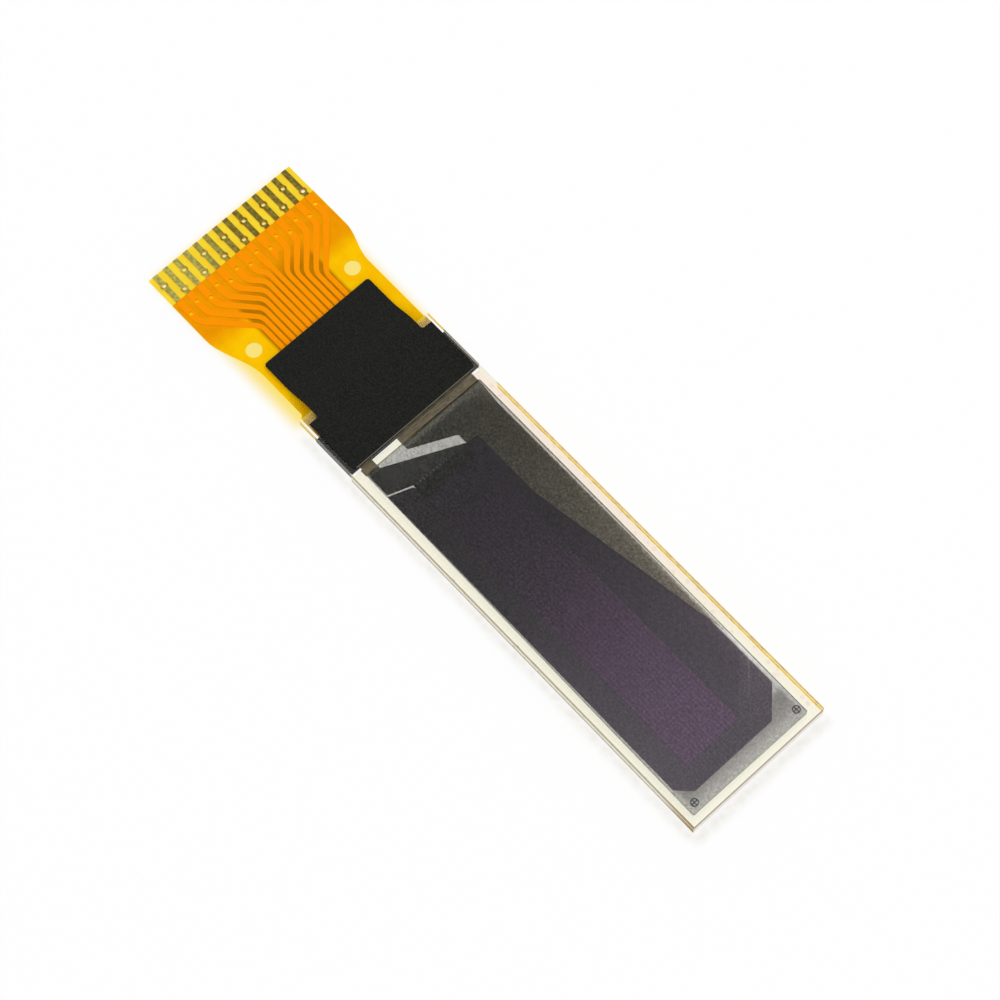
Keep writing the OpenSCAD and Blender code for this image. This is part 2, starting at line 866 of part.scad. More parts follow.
module front_tape_outline() {
    wide_l = tape_wide_l;
    narrow_side = tape_narrow_w / 2;
    // wide part, its inner corners rounded
    translate([front_tape_end - wide_l / 2, 0])
        round_rect(wide_l, 2 * tape_side, tape_corner_r);
    rect([tape_shoulder_x, -tape_side], [tape_shoulder_x + wide_l / 2, tape_side]);
    // narrow part, its far corners rounded
    translate([(front_tape_start + front_tape_end) / 2 - tape_corner_r, 0])
        round_rect(front_tape_end - front_tape_start - 2 * tape_corner_r, tape_narrow_w, tape_shoulder_r);
    // hollow shoulders between the two widths
    for (side = [-1, 1])
        difference() {
            translate([tape_shoulder_x - tape_shoulder_r / 2, side * (narrow_side + tape_shoulder_r / 2)])
                square(tape_shoulder_r, center = true);
            translate([tape_shoulder_x - tape_shoulder_r, side * (narrow_side + tape_shoulder_r)])
                circle(tape_shoulder_r);
        }
}

module front_tape() {
    underside = concat(
        [[front_tape_end, glass_top]],
        stepped(glass_start, glass_top, glass_start - tape_ramp_l, coverlay_top),
        [[front_tape_start, coverlay_top]]
    );
    color([0.12, 0.12, 0.11])
        intersection() {
            tape_strip(underside, glass_side);
            translate([0, 0, coverlay_top - cut])
                linear_extrude(glass_top + tape_t - coverlay_top + 2 * cut)
                    front_tape_outline();
        }
}

module rear_tape() {
    underside = concat(
        [[cap_start - resin_fit, chip_back - tape_t]],
        stepped(
            chip_start, chip_back - tape_t,
            chip_start - tape_ramp_l, base_z - tape_t
        ),
        [[rear_tape_start, base_z - tape_t]]
    );
    color([0.11, 0.11, 0.10])
        tape_strip(underside, tape_narrow_w / 2);
}

substrate_glass();
cap_glass();
edge_seal();
drying_sheet();
column_leads();
row_leads();
input_leads();
anode_columns();
organic_film();
row_separators();
cathode_film();
alignment_marks();
polariser_film();
driver_chip();
chip_bond_film();
tail_bond_film();
ledge_resin();
tail_base_film();
front_copper();
rear_copper();
via_barrels();
front_pad_tin();
rear_pad_tin();
front_coverlay();
rear_coverlay();
front_tape();
rear_tape();
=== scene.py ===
"""Looks of a narrow graphic OLED module, built on its CAD frame.

The module lies on its cap glass on a white table. Every length in this file is
in millimetres in the row frame, +X along the glass away from the tail and +Z
out of the display, and turns into metres where it meets Blender.
"""

from __future__ import annotations

import logging
import math
from dataclasses import dataclass, field
from enum import Enum
from typing import Sequence, Union

import bpy
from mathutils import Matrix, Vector


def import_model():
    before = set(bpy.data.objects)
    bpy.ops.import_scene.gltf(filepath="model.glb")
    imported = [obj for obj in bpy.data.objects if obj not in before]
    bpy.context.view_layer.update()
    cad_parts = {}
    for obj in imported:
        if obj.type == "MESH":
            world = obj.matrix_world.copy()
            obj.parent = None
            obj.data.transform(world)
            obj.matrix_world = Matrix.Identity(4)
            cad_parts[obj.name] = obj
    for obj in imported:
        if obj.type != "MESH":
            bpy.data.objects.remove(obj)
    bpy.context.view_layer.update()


LOG = logging.getLogger("oled_module")
METRE = 0.001

Colour = tuple[float, float, float]
Value = Union[float, Sequence[float], bpy.types.NodeSocket]


def colour(red: int, green: int, blue: int) -> Colour:
    """Turn a display colour into the linear colour that Blender works in.

    Args:
        red: Red, 0 to 255.
        green: Green, 0 to 255.
        blue: Blue, 0 to 255.

    Returns:
        The linear red, green and blue, 0 to 1.
    """

    def linear(level: float) -> float:
        """Undo the display curve for one channel."""
        return level / 12.92 if level <= 0.04045 else ((level + 0.055) / 1.055) ** 2.4

    return linear(red / 255), linear(green / 255), linear(blue / 255)


class Axis(Enum):
    """The axes of the row frame, each with its place in a vector."""

    X = 0
    Y = 1
    Z = 2


@dataclass(frozen=True)
class Step:
    """A change to another tone between two places along an axis, in millimetres."""

    start: float
    end: float
    tone: Value


class Graph:
    """A material's node tree, with one short method for each thing that finishes need."""

    def __init__(self, name: str) -> None:
        """Start an empty material.

        Args:
            name: The material's name.
        """
        self.material = bpy.data.materials.new(name)
        self.material.use_nodes = True
        self.tree = self.material.node_tree
        self.tree.nodes.clear()
        self._whole: bpy.types.NodeSocket | None = None
        self._place: dict[Axis, bpy.types.NodeSocket] = {}

    def node(self, kind: str, **settings: object) -> bpy.types.Node:
        """Add a node.

        Args:
            kind: The node's type, without the leading "ShaderNode".
            **settings: Properties to set on it.

        Returns:
            The new node.
        """
        made = self.tree.nodes.new("ShaderNode" + kind)
        for key, value in settings.items():
            setattr(made, key, value)
        return made

    def feed(self, socket: bpy.types.NodeSocket, value: Value) -> None:
        """Link a socket to another one, or set it where the value is constant.

        Args:
            socket: The input to feed.
            value: An output socket, a number, or a colour or vector.
        """
        if isinstance(value, bpy.types.NodeSocket):
            self.tree.links.new(value, socket)
        elif socket.type == "RGBA" and not isinstance(value, (int, float)):
            socket.default_value = (*value, 1.0)
        else:
            socket.default_value = value

    def calc(self, operation: str, *terms: Value, clamp: bool = False) -> bpy.types.NodeSocket:
        """Work out a number from one to three terms."""
        made = self.node("Math", operation=operation, use_clamp=clamp)
        for socket, term in zip(made.inputs, terms):
            self.feed(socket, term)
        return made.outputs[0]

    def point(self) -> bpy.types.NodeSocket:
        """Give the shaded point's place in the row frame, in millimetres."""
        if self._whole is None:
            source = self.node("TexCoord").outputs["Object"]
            scaled = self.node("VectorMath", operation="SCALE")
            self.feed(scaled.inputs[0], source)
            scaled.inputs["Scale"].default_value = 1 / METRE
            self._whole = scaled.outputs[0]
        return self._whole

    def place(self, axis: Axis) -> bpy.types.NodeSocket:
        """Give the shaded point's place along one axis of the row frame, in millimetres."""
        if not self._place:
            parts = self.node("SeparateXYZ")
            self.feed(parts.inputs[0], self.point())
            self._place.update(zip(Axis, parts.outputs))
        return self._place[axis]

    def facing(self, axis: Axis) -> bpy.types.NodeSocket:
        """Give the true face normal's part along one axis, -1 to 1."""
        parts = self.node("SeparateXYZ")
        self.feed(parts.inputs[0], self.node("NewGeometry").outputs["True Normal"])
        return parts.outputs[axis.value]

    def ramp(self, value: Value, start: float, end: float) -> bpy.types.NodeSocket:
        """Rise smoothly from 0 at start to 1 at end, or fall where end is the smaller."""
        made = self.node("MapRange", interpolation_type="SMOOTHSTEP")
        low, high = (start, end) if start < end else (end, start)
        self.feed(made.inputs["Value"], value)
        made.inputs["From Min"].default_value = low
        made.inputs["From Max"].default_value = high
        made.inputs["To Min"].default_value = 0.0 if start < end else 1.0
        made.inputs["To Max"].default_value = 1.0 if start < end else 0.0
        return made.outputs[0]

    def band(self, value: Value, low: float, high: float, soft: float) -> bpy.types.NodeSocket:
        """Be 1 between low and high and 0 outside, over soft edges."""
        rise = self.ramp(value, low - soft / 2, low + soft / 2)
        fall = self.ramp(value, high + soft / 2, high - soft / 2)
        return self.both(rise, fall)

    def noise(
        self,
        size: float,
        detail: float = 2.0,
        stretch: Colour = (1.0, 1.0, 1.0),
        seed: float = 0.0,
    ) -> bpy.types.NodeSocket:
        """Give a soft random pattern.

        Args:
            size: The pattern's grain in millimetres.
            detail: How many finer layers are laid over it.
            stretch: How much longer the grain is along each axis.
            seed: Moves the pattern to another place.

        Returns:
            The pattern, about 0.3 to 0.7 and 0.5 on average.
        """
        made = self.node("TexNoise")
        moved = self.node("Mapping")
        self.feed(moved.inputs["Vector"], self.point())
        moved.inputs["Location"].default_value = (seed * 7.3, seed * 3.1, seed * 5.7)
        moved.inputs["Scale"].default_value = [1 / (size * s) for s in stretch]
        self.feed(made.inputs["Vector"], moved.outputs[0])
        made.inputs["Scale"].default_value = 1.0
        made.inputs["Detail"].default_value = detail
        return made.outputs["Fac"]

    def spots(self, size: float, share: float, seed: float = 0.0) -> bpy.types.NodeSocket:
        """Give scattered round spots.

        Args:
            size: The mean distance between spots in millimetres.
            share: The spot's radius as a share of that distance.
            seed: Moves the spots to another place.

        Returns:
            1 inside a spot and 0 outside, over a soft edge.
        """
        moved = self.node("Mapping")
        self.feed(moved.inputs["Vector"], self.point())
        moved.inputs["Location"].default_value = (seed * 2.9, seed * 4.7, seed * 1.3)
        moved.inputs["Scale"].default_value = [1 / size] * 3
        made = self.node("TexVoronoi")
        self.feed(made.inputs["Vector"], moved.outputs[0])
        made.inputs["Scale"].default_value = 1.0
        return self.ramp(made.outputs["Distance"], share * 1.2, share * 0.8)

    def blend(self, share: Value, low: Value, high: Value) -> bpy.types.NodeSocket:
        """Mix two colours: low where share is 0 and high where it is 1."""
        made = self.node("Mix", data_type="RGBA")
        self.feed(made.inputs[0], share)
        self.feed(made.inputs[6], low)
        self.feed(made.inputs[7], high)
        return made.outputs[2]

    def steps(self, along: Value, tone: Value, *changes: Step) -> Value:
        """Lay tones one after another along an axis.

        Args:
            along: The place along the axis.
            tone: The tone before the first change.
            *changes: Where each next tone begins.

        Returns:
            The colour.
        """
        for change in changes:
            tone = self.blend(self.ramp(along, change.start, change.end), tone, change.tone)
        return tone

    def both(self, *shares: Value) -> Value:
        """Multiply shares, so that the result is 1 only where all of them are."""
        whole = shares[0]
        for share in shares[1:]:
            whole = self.calc("MULTIPLY", whole, share)
        return whole

    def bump(self, height: Value, depth: float) -> bpy.types.NodeSocket:
        """Turn a 0 to 1 height into a normal, with its full depth in millimetres."""
        made = self.node("Bump")
        made.inputs["Distance"].default_value = depth * METRE
        self.feed(made.inputs["Height"], height)
        return made.outputs[0]

    def principled(self, **inputs: Value) -> bpy.types.NodeSocket:
        """Add the main surface shader.

        Args:
            **inputs: Its inputs by name, with underscores for spaces.

        Returns:
            The shader's output.
        """
        made = self.node("BsdfPrincipled")
        for key, value in inputs.items():
            self.feed(made.inputs[key.replace("_", " ")], value)
        return made.outputs[0]

    def clear(self, tint: Value) -> bpy.types.NodeSocket:
        """Let light straight through, tinted."""
        made = self.node("BsdfTransparent")
        self.feed(made.inputs["Color"], tint)
        return made.outputs[0]

    def layer(self, share: Value, under: Value, over: Value) -> bpy.types.NodeSocket:
        """Mix two shaders: under where share is 0 and over where it is 1."""
        made = self.node("MixShader")
        self.feed(made.inputs[0], share)
        self.feed(made.inputs[1], under)
        self.feed(made.inputs[2], over)
        return made.outputs[0]

    def leaving(self) -> bpy.types.NodeSocket:
        """Be 1 where a ray meets a face from inside the solid."""
        return self.node("NewGeometry").outputs["Backfacing"]

    def done(self, shader: bpy.types.NodeSocket) -> bpy.types.Material:
        """Send a shader to the output.

        Args:
            shader: The finished shader.

        Returns:
            The material.
        """
        output = self.node("OutputMaterial")
        self.feed(output.inputs["Surface"], shader)
        return self.material


@dataclass(frozen=True)
class Finish:
    """How one material slot looks."""

    slot: str

    def material(self) -> bpy.types.Material:
        """Make the slot's material."""
        graph = Graph(self.slot)
        return graph.done(self.shade(graph))

    def shade(self, graph: Graph) -> bpy.types.NodeSocket:
        """Build the shader.

        Args:
            graph: The material's node tree.

        Returns:
            The shader's output socket.
        """
        raise NotImplementedError

    def apply(self, *nodes: str) -> None:
        """Dress CAD nodes in this finish.

        Args:
            *nodes: The nodes' names.
        """
        made = self.material()
        for name in nodes:
            for holder in bpy.data.objects[name].material_slots:
                holder.material = made
            LOG.info("%s: dressed as %s", name, self.slot)


@dataclass(frozen=True)
class GlassFinish(Finish):
    """Clear float glass with scribed and broken side walls."""

    slot: str = "clear_glass"
    tint: Colour = (1.0, 0.995, 0.955)
    side: float = 4.0
    free_end: float = 13.15
    ledge_end: float = -9.6
    tail_end: float = -12.05
    gold_reflection_start: float = -8.4
    skin: float = 0.02
    corner_reach: float = 2.5
    lit_through_share: float = 0.85

    def shade(self, graph: Graph) -> bpy.types.NodeSocket:
        """Refracting faces, outer walls that light comes through, and clear pocket walls."""
        pane = graph.principled(
            Base_Color=self.tint, Roughness=0.01, IOR=1.5, Transmission_Weight=1.0,
            Specular_IOR_Level=0.15,
        )
        tone = self.wall(graph)
        ground = graph.principled(Base_Color=tone, Roughness=0.5, Specular_IOR_Level=0.1)
        lit_through = graph.node("BsdfTranslucent")
        graph.feed(lit_through.inputs["Color"], tone)
        rough = graph.layer(
            graph.both(graph.leaving(), self.lit_through_share), ground, lit_through.outputs[0]
        )
        upright = graph.ramp(graph.calc("ABSOLUTE", graph.facing(Axis.Z)), 0.6, 0.4)
        across = graph.calc("ABSOLUTE", graph.place(Axis.Y))
        outer = graph.calc(
            "MAXIMUM",
            graph.ramp(across, self.side - self.skin, self.side - self.skin / 2),
            graph.ramp(
                graph.place(Axis.X), self.free_end - self.skin, self.free_end - self.skin / 2
            ),
        )
        inner = graph.both(upright, graph.calc("SUBTRACT", 1.0, outer))
        pane = graph.layer(inner, pane, graph.clear((1.0, 1.0, 1.0)))
        return graph.layer(graph.both(upright, outer), pane, rough)

    def wall(self, graph: Graph) -> bpy.types.NodeSocket:
        """Colour the walls, mostly with painted light: a painted gold reflection on the far side,
        cream near walls with painted shade and highlight bands, painted shade at the ledge, a
        painted glow of the tail where it shows through, and painted bands on the free end.
        """
        x, y, z = (graph.place(axis) for axis in Axis)
        blotch = graph.ramp(graph.noise(0.35, 3.0), 0.42, 0.6)
        chips = graph.ramp(graph.noise(0.12, 2.0, (3, 1, 1), seed=2), 0.6, 0.66)
        far_side = graph.ramp(y, -0.5, 0.5)

        # Painted reflection: the far wall turns gold from its start along x on, darker at the top
        # arris, with real chips over it.
        gold_reflection = graph.blend(blotch, colour(255, 222, 110), colour(242, 196, 70))
        gold_reflection = graph.steps(z, gold_reflection, Step(0.92, 1.0, colour(190, 152, 62)))
        gold_reflection = graph.blend(chips, gold_reflection, colour(150, 120, 40))
        cream = colour(252, 248, 228)
        far_reflection = graph.steps(x, cream, Step(self.gold_reflection_start, self.gold_reflection_start + 0.1, gold_reflection))

        # Painted shade and highlight in bands up the near wall: darker at the foot, a darker band
        # where the two glasses meet (partly the real joint), a pale gold top arris; darker
        # olive-gold towards the free-end corner. The chips are real.
        near_shade_and_chips = graph.steps(
            z,
            colour(196, 190, 170),
            Step(0.18, 0.26, colour(250, 246, 226)),
            Step(0.47, 0.53, colour(188, 178, 152)),
            Step(0.9, 0.98, colour(252, 240, 192)),
        )
        near_shade_and_chips = graph.blend(graph.both(chips, 0.6), near_shade_and_chips, colour(120, 104, 60))
        corner = Step(self.free_end - self.corner_reach, self.free_end, colour(168, 140, 84))
        near_shade_and_chips = graph.steps(x, near_shade_and_chips, corner)

        # Painted shade: the wall over the ledge is a dusky grey.
        ledge_shade = graph.blend(far_side, colour(126, 124, 114), colour(150, 144, 116))
        sides = graph.steps(
            x,
            graph.blend(far_side, near_shade_and_chips, far_reflection),
            Step(self.ledge_end + 0.03, self.ledge_end - 0.03, ledge_shade),
            # Painted glow: the yellow tail showing through the wall beyond the ledge is painted on
            # it.
            Step(self.tail_end + 0.03, self.tail_end - 0.03, colour(236, 206, 96)),
        )
        # Painted reflection and shade on the free-end wall: pale at the foot, darker bands in the
        # middle and a gold band at the top.
        end = graph.steps(
            z,
            colour(250, 247, 238),
            Step(0.34, 0.42, colour(222, 224, 216)),
            Step(0.56, 0.66, colour(170, 162, 148)),
            Step(0.8, 0.9, colour(190, 160, 124)),
            Step(0.95, 1.0, colour(246, 212, 140)),
        )
        return graph.steps(x, sides, Step(self.free_end - 0.01, self.free_end - 0.002, end))


@dataclass(frozen=True)
class SealFinish(Finish):
    """Cured seal resin, which lets the table through and has rosy dots."""

    slot: str = "seal_resin"
    inner_start: float = -9.08
    inner_end: float = 12.6
    leads_side: float = 3.5
    window: tuple[float, float] = (-2.76, -1.22)
    soft: float = 0.02
    resin_share: float = 0.03

    def shade(self, graph: Graph) -> bpy.types.NodeSocket:
        """Pink-beige on the wiring side, cream elsewhere, brown under the lead bands."""
        x, y = graph.place(Axis.X), graph.place(Axis.Y)
        pink = graph.blend(graph.ramp(x, -3.0, 11.0), (0.99, 0.88, 0.82), (1.0, 0.96, 0.86))
        pink = graph.blend(graph.both(graph.spots(0.42, 0.3), 0.3), pink, (0.88, 0.66, 0.62))
        tone = graph.blend(graph.ramp(y, -0.5, 0.5), (0.97, 0.96, 0.86), pink)
        free_end = Step(self.inner_end - 0.05, self.inner_end + 0.05, (1.0, 0.99, 0.90))
        tone = graph.steps(x, tone, free_end)
        resin = graph.principled(Base_Color=tone, Roughness=0.3, Specular_IOR_Level=0.2)
        tint = graph.blend(graph.leaving(), tone, (1.0, 1.0, 1.0))
        clear = graph.layer(self.resin_share, graph.clear(tint), resin)
        leads = graph.both(
            graph.ramp(x, self.inner_start + self.soft, self.inner_start - self.soft),
            graph.calc(
                "SUBTRACT",
                graph.band(y, -self.leads_side, self.leads_side, self.soft),
                graph.band(y, *self.window, self.soft),
            ),
        )
        streak = graph.ramp(graph.noise(0.05, 1.0, (1, 6, 1)), 0.4, 0.6)
        brown = graph.principled(
            Base_Color=graph.blend(streak, colour(132, 112, 10), colour(92, 74, 4)), Roughness=0.5
        )
        return graph.layer(leads, clear, brown)


@dataclass(frozen=True)
class DryingFinish(Finish):
    """A pressed white sheet that takes up moisture."""

    slot: str = "drying_sheet"

    def shade(self, graph: Graph) -> bpy.types.NodeSocket:
        """Chalky and finely grained."""
        grain = graph.noise(0.08, 3.0)
        base = graph.blend(grain, colour(226, 222, 210), colour(240, 237, 228))
        return graph.principled(Base_Color=base, Roughness=0.9, Normal=graph.bump(grain, 0.01))


@dataclass(frozen=True)
class ScreenFilm(Finish):
    """A film behind the polariser, its tone graded by a painted sheen that brightens towards the
    free end.
    """

    start: float = -6.5
    end: float = 11.5
    contact_end: float = -9.03
    grain_size: float = 0.075
    contrast: float = 0.28

    def along(self, graph: Graph, left: Colour, right: Colour) -> bpy.types.NodeSocket:
        """Grade a tone along the screen as a painted sheen and break it up with a fine woven grain.

        Args:
            graph: The material's node tree.
            left: The tone beside the tail.
            right: The tone at the free end.

        Returns:
            The colour.
        """
        # Painted sheen: the tone brightens from the tail side to the free end.
        share = graph.ramp(graph.place(Axis.X), self.start, self.end)
        weave = graph.ramp(graph.noise(self.grain_size, 1.0), 0.36, 0.64)
        dark, light = 1 - self.contrast, 1 + self.contrast
        low = graph.blend(share, [c * dark for c in left], [c * dark for c in right])
        high = graph.blend(share, [c * light for c in left], [c * light for c in right])
        return graph.blend(weave, low, high)

    def at_contact(self, graph: Graph, tone: Value) -> bpy.types.NodeSocket:
        """Turn a lead's tone golden brown where it passes the seal to the ledge."""
        streak = graph.ramp(graph.noise(0.05, 1.0, (1, 8, 1)), 0.4, 0.6)
        brown = graph.blend(streak, colour(140, 118, 14), colour(96, 78, 6))
        spot = graph.both(graph.spots(0.3, 0.22, seed=3), 0.6)
        brown = graph.blend(spot, brown, colour(160, 118, 84))
        share = graph.ramp(graph.place(Axis.X), self.contact_end + 0.02, self.contact_end - 0.02)
        return graph.blend(share, tone, brown)


@dataclass(frozen=True)
class LeadFinish(ScreenFilm):
    """Thin metal leads on glass."""

    slot: str = "lead_metal"
    start: float = -8.5
    end: float = 4.0

    def shade(self, graph: Graph) -> bpy.types.NodeSocket:
        """Golden brown at the contact band and grey-olive under the polariser, brightened towards
        the free end by the painted sheen.
        """
        # Painted sheen: the leads' tone brightens towards the free end.
        painted_sheen_tone = self.along(graph, (0.30, 0.29, 0.23), (0.95, 0.89, 0.80))
        base = self.at_contact(graph, painted_sheen_tone)
        return graph.principled(Base_Color=base, Roughness=0.5, Specular_IOR_Level=0.2)


@dataclass(frozen=True)
class DarkLeadFinish(ScreenFilm):
    """Thin leads that look as dark as the cathode field."""

    slot: str = "dark_lead_metal"

    def shade(self, graph: Graph) -> bpy.types.NodeSocket:
        """Near black, with the field's grain."""
        base = self.at_contact(graph, self.along(graph, (0.09, 0.09, 0.09), (0.10, 0.09, 0.10)))
        return graph.principled(Base_Color=base, Roughness=0.5, Specular_IOR_Level=0.2)


@dataclass(frozen=True)
class ConductorFinish(Finish):
    """The clear conductor's columns."""

    slot: str = "clear_conductor"

    def shade(self, graph: Graph) -> bpy.types.NodeSocket:
        """Almost clear, with a faint violet cast."""
        cast = graph.blend(graph.noise(0.5, 2.0), (0.36, 0.30, 0.42), (0.46, 0.40, 0.50))
        film = graph.principled(Base_Color=cast, Roughness=0.4, Specular_IOR_Level=0.1)
        return graph.layer(0.06, graph.clear((0.98, 0.97, 0.99)), film)


@dataclass(frozen=True)
class OrganicFinish(ScreenFilm):
    """The light-emitting film, purple while it is off."""

    slot: str = "organic_film"

    def shade(self, graph: Graph) -> bpy.types.NodeSocket:
        """Dark purple, brightened by a painted sheen from nearly black beside the tail to purple at
        the free end.
        """
        base = self.along(graph, (0.16, 0.13, 0.19), (0.86, 0.52, 0.98))
        return graph.principled(Base_Color=base, Roughness=0.45, Specular_IOR_Level=0.2)


@dataclass(frozen=True)
class SeparatorFinish(ScreenFilm):
    """Resin ribs between the cathode's rows."""

    slot: str = "separator_resin"

    def shade(self, graph: Graph) -> bpy.types.NodeSocket:
        """Dark and matt, lightened towards the free end by the painted sheen."""
        base = self.along(graph, (0.09, 0.08, 0.10), (0.28, 0.20, 0.32))
        return graph.principled(Base_Color=base, Roughness=0.7)


@dataclass(frozen=True)
class CathodeFinish(ScreenFilm):
    """The cathode's metal, which the polariser turns almost black."""

    slot: str = "cathode_metal"

    def shade(self, graph: Graph) -> bpy.types.NodeSocket:
        """A dark grainy film, lightened towards the free end by the painted sheen."""
        base = self.along(graph, (0.16, 0.14, 0.18), (0.46, 0.40, 0.55))
        return graph.principled(Base_Color=base, Roughness=0.5, Specular_IOR_Level=0.2)


@dataclass(frozen=True)
class PolariserFinish(Finish):
    """The grey film on the display face."""

    slot: str = "polariser"
    film_alpha: float = 0.33
    edge_alpha: float = 0.75
    grain: float = 0.16
    grain_size: float = 0.12
    edge_highlight_alpha: float = 0.24
    edge_highlight_side: tuple[float, float] = (3.19, 3.37)
    edge_highlight_x: tuple[float, float] = (3.5, 10.4)
    sheen_x: tuple[float, float] = (-2.0, 12.5)
    tail_edge_x: float = -9.0
    scratch_x: tuple[float, float] = (9.05, 10.5)
    scratch_y: tuple[float, float] = (3.27, 3.31)
    scratch_fall: float = 0.935

    def shade(self, graph: Graph) -> bpy.types.NodeSocket:
        """Grey, grained and see-through, lightened towards the free end by a painted sheen, with a
        light cut edge.
        """
        x = graph.place(Axis.X)
        flat = graph.ramp(graph.calc("ABSOLUTE", graph.facing(Axis.Z)), 0.4, 0.6)
        speck = graph.noise(0.05, 2.0)
        left = graph.blend(speck, (0.003, 0.003, 0.003), (0.006, 0.006, 0.0055))
        # Painted sheen: the film's tone lightens from the tail side to the free end.
        free_end_sheen = graph.blend(speck, (0.05, 0.042, 0.052), (0.085, 0.072, 0.088))
        base = graph.steps(x, left, Step(*self.sheen_x, free_end_sheen))
        base = graph.blend(graph.both(self.scratch(graph), 0.6), base, (0.5, 0.47, 0.44))
        light = Step(self.tail_edge_x, self.tail_edge_x - 0.01, (0.55, 0.50, 0.34))
        edge = graph.steps(x, base, light)
        change = graph.both(flat, graph.calc("SUBTRACT", self.film(graph), self.edge_alpha))
        return graph.principled(
            Base_Color=graph.blend(flat, edge, base), Roughness=0.22, Specular_IOR_Level=0.1,
            Alpha=graph.calc("ADD", change, self.edge_alpha, clamp=True),
            Normal=graph.bump(graph.noise(0.2, 2.0), 0.0004),
        )

    def scratch(self, graph: Graph) -> bpy.types.NodeSocket:
        """Be 1 along the slanted scratch near the free end."""
        x, y = graph.place(Axis.X), graph.place(Axis.Y)
        run = graph.calc("SUBTRACT", x, self.scratch_x[0])
        level = graph.calc("ADD", graph.both(run, self.scratch_fall), y)
        return graph.both(
            graph.band(level, *self.scratch_y, 0.04), graph.band(x, *self.scratch_x, 0.3)
        )

    def film(self, graph: Graph) -> bpy.types.NodeSocket:
        """Give the film's cover: grained, and clearer in a strip along the wiring side, a painted
        highlight along that edge.
        """
        # Painted highlight: the film is made clearer in a strip along its wiring-side edge.
        strip = graph.both(
            graph.band(graph.place(Axis.Y), *self.edge_highlight_side, 0.06),
            graph.band(graph.place(Axis.X), *self.edge_highlight_x, 5.0),
        )
        cover = graph.calc("SUBTRACT", self.film_alpha, graph.both(strip, self.edge_highlight_alpha))
        wave = graph.calc("SUBTRACT", graph.noise(self.grain_size, 1.0), 0.5)
        return graph.calc("ADD", cover, graph.both(wave, self.grain * 2))


@dataclass(frozen=True)
class SiliconFinish(Finish):
    """The ground back and sawn sides of the chip."""

    slot: str = "silicon"

    def shade(self, graph: Graph) -> bpy.types.NodeSocket:
        """Blue-grey with fine grinding marks."""
        marks = graph.noise(0.03, 2.0, (14, 1, 1))
        base = graph.blend(marks, colour(92, 96, 108), colour(126, 130, 140))
        return graph.principled(
            Base_Color=base, Roughness=0.3, Metallic=0.6, Normal=graph.bump(marks, 0.002)
        )


@dataclass(frozen=True)
class BondFinish(Finish):
    """Cured bonding film with its conducting beads."""

    slot: str = "bond_film"
    tail_side: float = -12.0

    def shade(self, graph: Graph) -> bpy.types.NodeSocket:
        """Straw under the chip, and golden over the tail, which shines through it."""
        beads = graph.ramp(graph.noise(0.07, 3.0), 0.52, 0.66)
        straw = graph.blend(beads, colour(196, 184, 138), colour(232, 226, 196))
        golden = graph.blend(beads, colour(236, 190, 20), colour(196, 150, 12))
        over_tail = Step(self.tail_side + 0.1, self.tail_side, golden)
        base = graph.steps(graph.place(Axis.X), straw, over_tail)
        return graph.principled(Base_Color=base, Roughness=0.5)


@dataclass(frozen=True)
class ResinFinish(Finish):
    """Black resin over the leads on the ledge."""

    slot: str = "black_resin"

    def shade(self, graph: Graph) -> bpy.types.NodeSocket:
        """Black and softly rippled."""
        ripple = graph.noise(0.5, 2.0)
        base = graph.blend(ripple, colour(18, 18, 18), colour(32, 31, 30))
        return graph.principled(
            Base_Color=base, Roughness=0.45, Specular_IOR_Level=0.3, Normal=graph.bump(ripple, 0.03)
        )


@dataclass(frozen=True)
class BaseFilmFinish(Finish):
    """The tail's amber base film, lit through by the table."""

    slot: str = "base_film"
    cover_start: float = -21.8
    rear_cover_end: float = -18.7
    bundle_start: float = -20.2
    bundle_side: float = 2.25

    def shade(self, graph: Graph) -> bpy.types.NodeSocket:
        """Lemon at the pads, orange over the rear cover film, then yellow, with painted shade of
        amber between the traces.
        """
        x = graph.place(Axis.X)
        across = graph.calc("ABSOLUTE", graph.place(Axis.Y))
        cloud = graph.ramp(graph.noise(0.7, 3.0), 0.35, 0.65)
        lemon = graph.blend(cloud, (0.98, 0.72, 0.030), (0.93, 0.66, 0.022))
        orange = graph.blend(cloud, (0.90, 0.47, 0.03), (0.84, 0.41, 0.02))
        yellow = graph.blend(cloud, (1.0, 0.82, 0.03), (0.97, 0.74, 0.02))
        trace_shade_amber = graph.blend(cloud, (0.50, 0.27, 0.01), (0.42, 0.22, 0.01))
        base = graph.steps(
            x,
            lemon,
            Step(self.cover_start - 0.02, self.cover_start + 0.02, orange),
            Step(self.rear_cover_end - 0.7, self.rear_cover_end + 0.5, yellow),
        )
        # Painted shade: where the copper traces shadow the film between them, the bundle turns
        # amber.
        bundle = graph.both(
            graph.ramp(across, self.bundle_side + 0.12, self.bundle_side - 0.12),
            graph.ramp(x, self.bundle_start - 0.5, self.bundle_start + 1.2),
        )
        base = graph.blend(bundle, base, trace_shade_amber)
        return graph.principled(Base_Color=base, Roughness=0.45, Specular_IOR_Level=0.08)


@dataclass(frozen=True)
class CopperFinish(Finish):
    """Rolled copper."""

    slot: str = "copper"

    def shade(self, graph: Graph) -> bpy.types.NodeSocket:
        """Orange, with the fine grain of rolling along the tail."""
        grain = graph.noise(0.04, 2.0, (12, 1, 1))
        base = graph.blend(grain, (1.0, 0.36, 0.08), (1.0, 0.48, 0.14))
        return graph.principled(
            Base_Color=base, Roughness=0.45, Specular_IOR_Level=0.2, Normal=graph.bump(grain, 0.002)
        )


